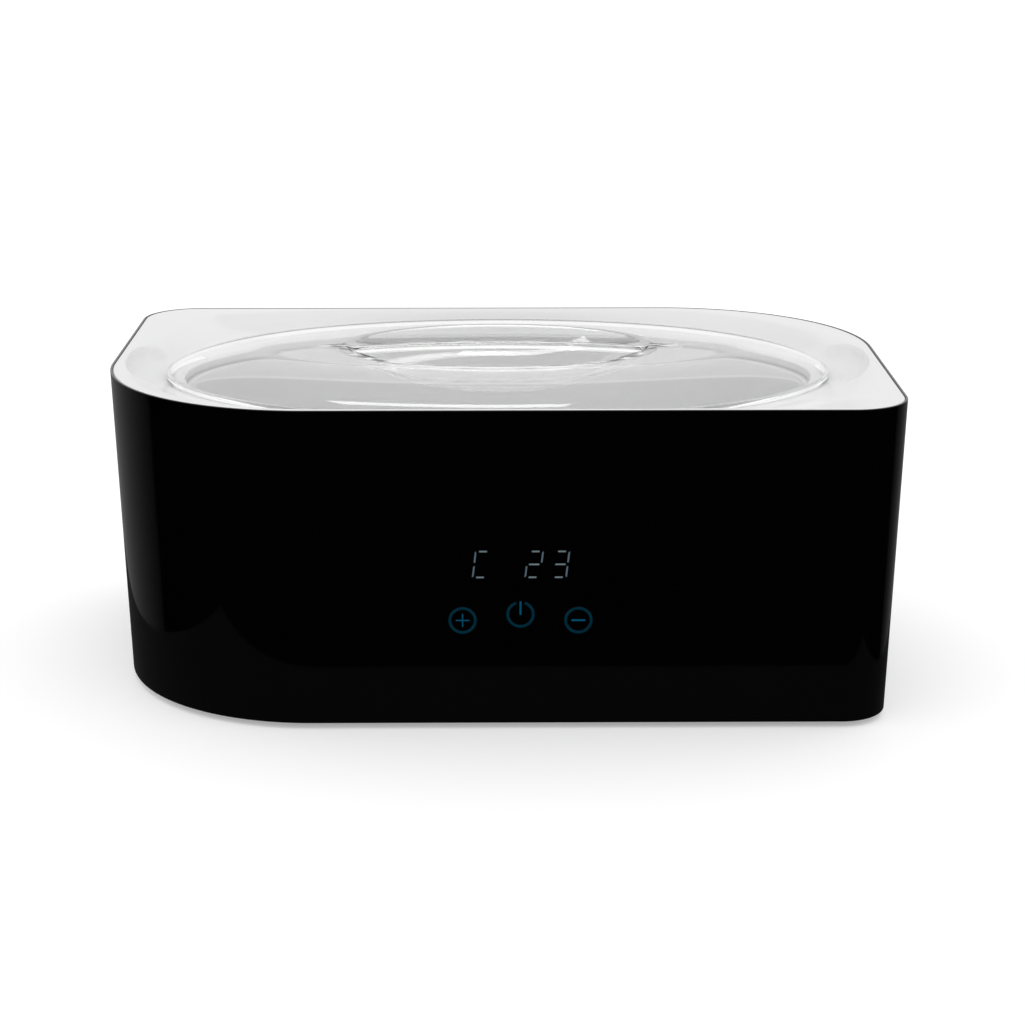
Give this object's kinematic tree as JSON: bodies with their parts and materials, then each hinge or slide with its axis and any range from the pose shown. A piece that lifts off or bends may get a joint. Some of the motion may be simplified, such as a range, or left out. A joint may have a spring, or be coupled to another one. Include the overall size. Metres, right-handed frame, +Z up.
{
  "type": "paraffin wax warmer",
  "caption": "Heated paraffin wax bath for hands and feet: black body with large rounded corners, white dished deck, clear oval lid with a recessed grip, touch icons and a digit display.",
  "frame": {"origin": "on the floor under the middle of the body", "axes": "+X to the right along the body's length, -Y towards the control face, +Z up"},
  "size_m": [0.4, 0.252, 0.171],
  "materials": {
    "black_gloss": "deep gloss, smoked",
    "white_gloss": "gloss",
    "clear_plastic": "polished clear",
    "black_matte": "fine moulded texture",
    "rubber_black": "matte",
    "tank_enamel": "white enamel, satin",
    "sheet_steel": "galvanised",
    "screw_steel": "zinc plated",
    "silicone_white": "matte",
    "heater_silicone": "matte",
    "insulation": "glass fibre felt",
    "board_green": "solder mask",
    "black_part": "satin",
    "cutout_brown": "phenolic",
    "sensor_metal": "satin",
    "spring_metal": "plated",
    "led_white": "satin",
    "digit_light": "lit, soft",
    "icon_teal": "printed, faintly lit",
    "relay_blue": "satin",
    "transformer_dark": "varnished",
    "fuse_ceramic": "glazed",
    "terminal_green": "satin",
    "inlet_black": "satin",
    "pin_metal": "nickel plated",
    "wire_brown": "satin",
    "wire_earth": "satin",
    "wire_white": "satin",
    "wire_black": "satin",
    "wire_grey": "satin"
  },
  "bodies": {
    "housing": {"outer_shell": "black_gloss", "top_deck": "white_gloss", "base_plate": "black_matte", "rubber_feet": "rubber_black", "base_screws": "screw_steel", "inner_tank": "tank_enamel", "tank_gasket": "silicone_white", "retaining_ring": "sheet_steel", "ring_screws": "screw_steel", "heating_pad": "heater_silicone", "heater_plate": "sheet_steel", "tank_studs": "screw_steel", "stud_nuts": "screw_steel", "insulation_sleeve": "insulation", "insulation_pad": "insulation", "heat_shield": "sheet_steel", "shield_screws": "screw_steel", "thermal_cutout": "cutout_brown", "temperature_sensor": "sensor_metal", "sensor_strap": "sheet_steel", "control_board": "board_green", "display_module": "black_part", "touch_springs": "spring_metal", "icon_leds": "led_white", "board_screws": "screw_steel", "digit_segments": "digit_light", "icon_plus": "icon_teal", "icon_power": "icon_teal", "icon_minus": "icon_teal", "power_board": "board_green", "transformer": "transformer_dark", "heater_relay": "relay_blue", "fuse_holder": "fuse_ceramic", "terminal_block": "terminal_green", "power_board_screws": "screw_steel", "appliance_inlet": "inlet_black", "inlet_pins": "pin_metal", "inlet_screws": "screw_steel", "inlet_nuts": "screw_steel", "mains_wires": "wire_brown", "earth_wire": "wire_earth", "heater_wires": "wire_white", "sensor_wires": "wire_black", "ribbon_cable": "wire_grey"},
    "lid_body": {"lid": "clear_plastic"}
  },
  "joints": [
    {"name": "lid_lift", "type": "slide", "parent": "housing", "child": "lid_body", "axis": [0, 0, 1], "range_m": [0, 0.2]}
  ]
}
